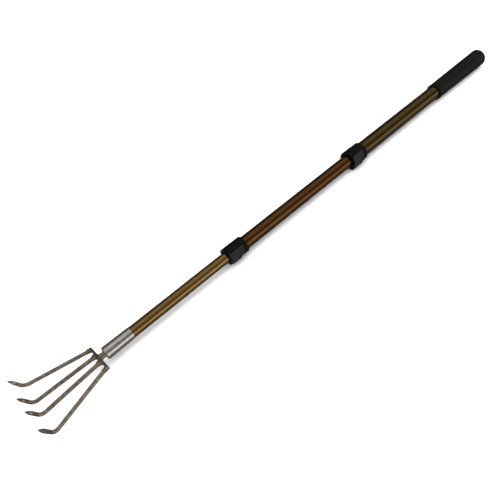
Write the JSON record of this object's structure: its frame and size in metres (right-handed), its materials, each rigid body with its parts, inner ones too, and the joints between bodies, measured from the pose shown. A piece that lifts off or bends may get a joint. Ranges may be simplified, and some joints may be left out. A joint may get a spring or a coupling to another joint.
{
  "type": "hand cultivator",
  "caption": "Telescoping hand cultivator: bent claw tines on a yoke, a brown anodised aluminium handle with black lever locks, and a rubber grip.",
  "frame": {"origin": "centre of the flat butt face of the grip, on the handle's axis", "axes": "+X along the handle from the head to the grip's butt; +Z is the side the claws point to; +Y completes the frame"},
  "size_m": [0.9545, 0.1048, 0.0365],
  "materials": {
    "anodised_aluminium": "bronze-brown anodised, satin, fine drawn lines",
    "ferrule_steel": "satin stainless with fine turned lines",
    "forged_steel": "brownish grey, satin, slightly uneven",
    "lock_plastic": "black moulded nylon, satin",
    "nylon": "grey moulded nylon",
    "fastener_steel": "bright zinc",
    "grip_rubber": "black rubber, satin"
  },
  "bodies": {
    "grip_section": {"upper_tube": "anodised_aluminium", "grip": "grip_rubber", "upper_tube_plug": "nylon", "upper_lock_collar": "lock_plastic", "upper_lock_liner": "nylon", "upper_lock_pin": "fastener_steel", "upper_lock_eye_bolt": "fastener_steel", "upper_lock_nut": "fastener_steel"},
    "upper_lever": {"upper_lock_lever": "lock_plastic"},
    "middle_guide": {"middle_guide_bush": "nylon"},
    "middle_section": {"middle_tube": "anodised_aluminium", "lower_lock_collar": "lock_plastic", "lower_lock_liner": "nylon", "lower_lock_pin": "fastener_steel", "lower_lock_eye_bolt": "fastener_steel", "lower_lock_nut": "fastener_steel"},
    "lower_lever": {"lower_lock_lever": "lock_plastic"},
    "lower_guide": {"lower_guide_bush": "nylon"},
    "head_section": {"lower_tube": "anodised_aluminium", "ferrule": "ferrule_steel", "ferrule_plug": "nylon", "head_tang": "forged_steel", "tine_yoke": "forged_steel", "tine_1": "forged_steel", "tine_2": "forged_steel", "tine_3": "forged_steel", "tine_4": "forged_steel"}
  },
  "joints": [
    {"name": "middle_slide", "type": "slide", "parent": "grip_section", "child": "middle_guide", "axis": [1, 0, 0], "range_m": [0, 0.228]},
    {"name": "middle_twist", "type": "hinge", "parent": "middle_guide", "child": "middle_section", "pos_m": [-0.275, 0, 0], "axis": [1, 0, 0], "continuous": true},
    {"name": "lower_slide", "type": "slide", "parent": "middle_section", "child": "lower_guide", "axis": [1, 0, 0], "range_m": [0, 0.163]},
    {"name": "lower_twist", "type": "hinge", "parent": "lower_guide", "child": "head_section", "pos_m": [-0.556, 0, 0], "axis": [1, 0, 0], "continuous": true},
    {"name": "upper_lever_swing", "type": "hinge", "parent": "grip_section", "child": "upper_lever", "pos_m": [-0.3719, -0.01398, -0.00622], "axis": [1, 0, 0], "range_deg": [0, 120]},
    {"name": "lower_lever_swing", "type": "hinge", "parent": "middle_section", "child": "lower_lever", "pos_m": [-0.6339, -0.01213, -0.00411], "axis": [1, 0, 0], "range_deg": [0, 120]}
  ]
}
